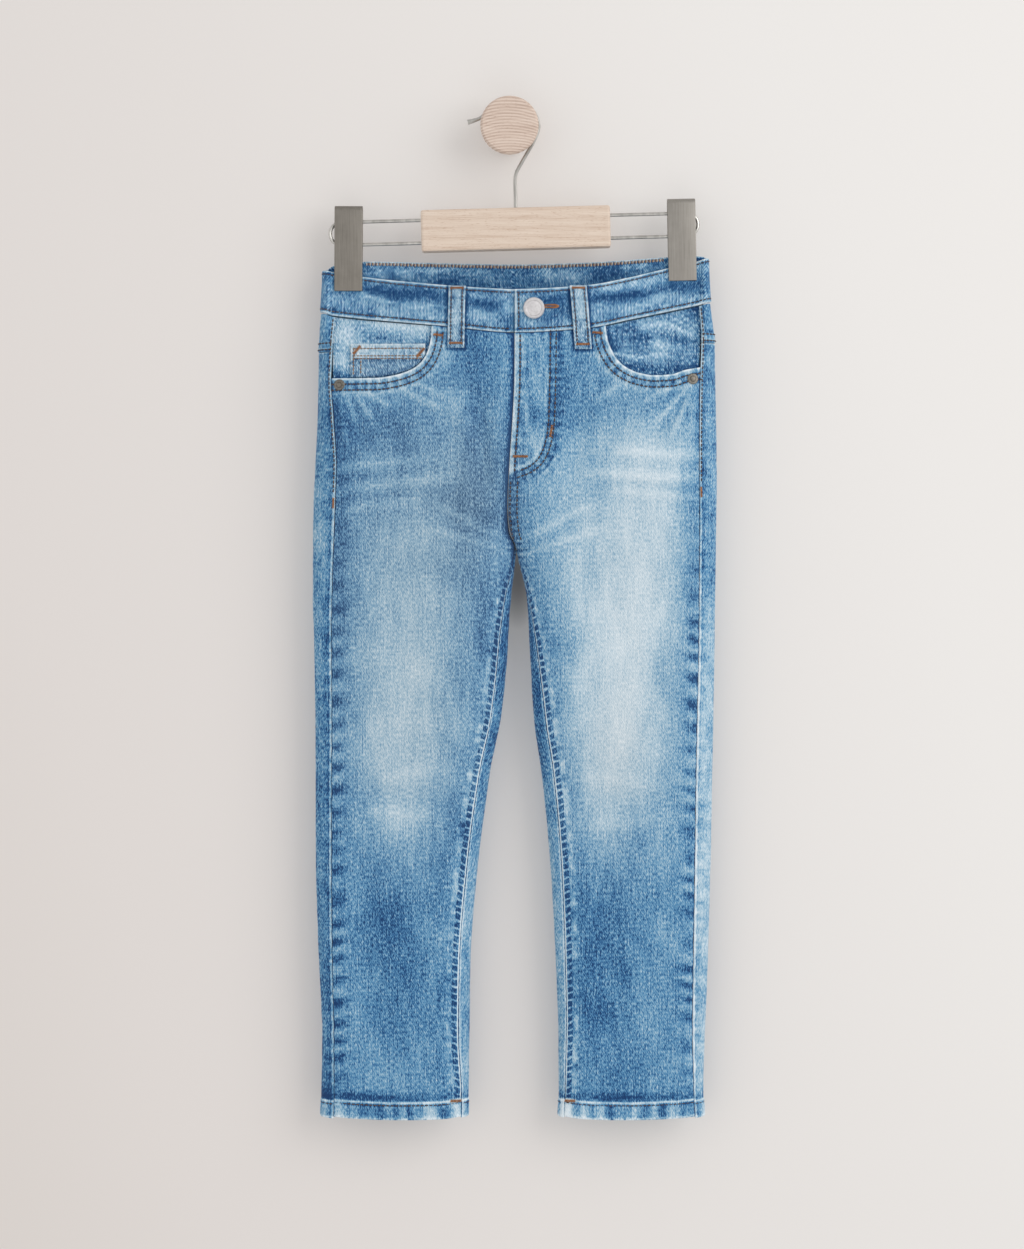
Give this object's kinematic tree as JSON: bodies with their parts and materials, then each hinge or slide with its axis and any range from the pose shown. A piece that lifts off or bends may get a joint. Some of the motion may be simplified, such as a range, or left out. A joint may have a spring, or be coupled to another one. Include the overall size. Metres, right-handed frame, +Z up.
{
  "type": "skinny jeans on a clip hanger with a wall knob",
  "caption": "Skinny jeans hung flat by the waistband from a wooden clip hanger, whose wire hook hangs on a round wooden wall knob.",
  "frame": {"origin": "centre of the wall knob's flat back face, where it meets the wall", "axes": "+Z up, towards the knob from the hems; the jeans' front faces -Y, so +Y goes into the wall; +X is the right side seen from the front"},
  "size_m": [0.2887, 0.0416, 0.7367],
  "materials": {
    "denim_mid": "washed twill",
    "denim_pale": "bleached twill",
    "denim_dark": "washed twill",
    "button_metal": "satin pewter",
    "rivet_metal": "dark aged",
    "hanger_wood": "clear matt",
    "knob_wood": "raw matt",
    "hanger_wire": "satin",
    "clip_steel": "brushed"
  },
  "bodies": {
    "root": {"front_left": "denim_pale", "front_right": "denim_pale", "back_left": "denim_mid", "back_right": "denim_mid", "yoke_left": "denim_mid", "yoke_right": "denim_mid", "pocket_facing_left": "denim_pale", "pocket_facing_right": "denim_pale", "coin_pocket": "denim_pale", "waistband": "denim_mid", "back_pocket_left": "denim_dark", "back_pocket_right": "denim_dark", "belt_loop_front_left": "denim_dark", "belt_loop_front_right": "denim_dark", "belt_loop_back_left": "denim_dark", "belt_loop_back_middle": "denim_dark", "belt_loop_back_right": "denim_dark", "button": "button_metal", "rivet_left": "rivet_metal", "rivet_right": "rivet_metal", "wall_knob": "knob_wood", "hanger_bar": "hanger_wood", "rod_left": "hanger_wire", "rod_right": "hanger_wire", "hanger_hook": "hanger_wire", "clip_left": "clip_steel", "clip_right": "clip_steel"}
  },
  "joints": []
}
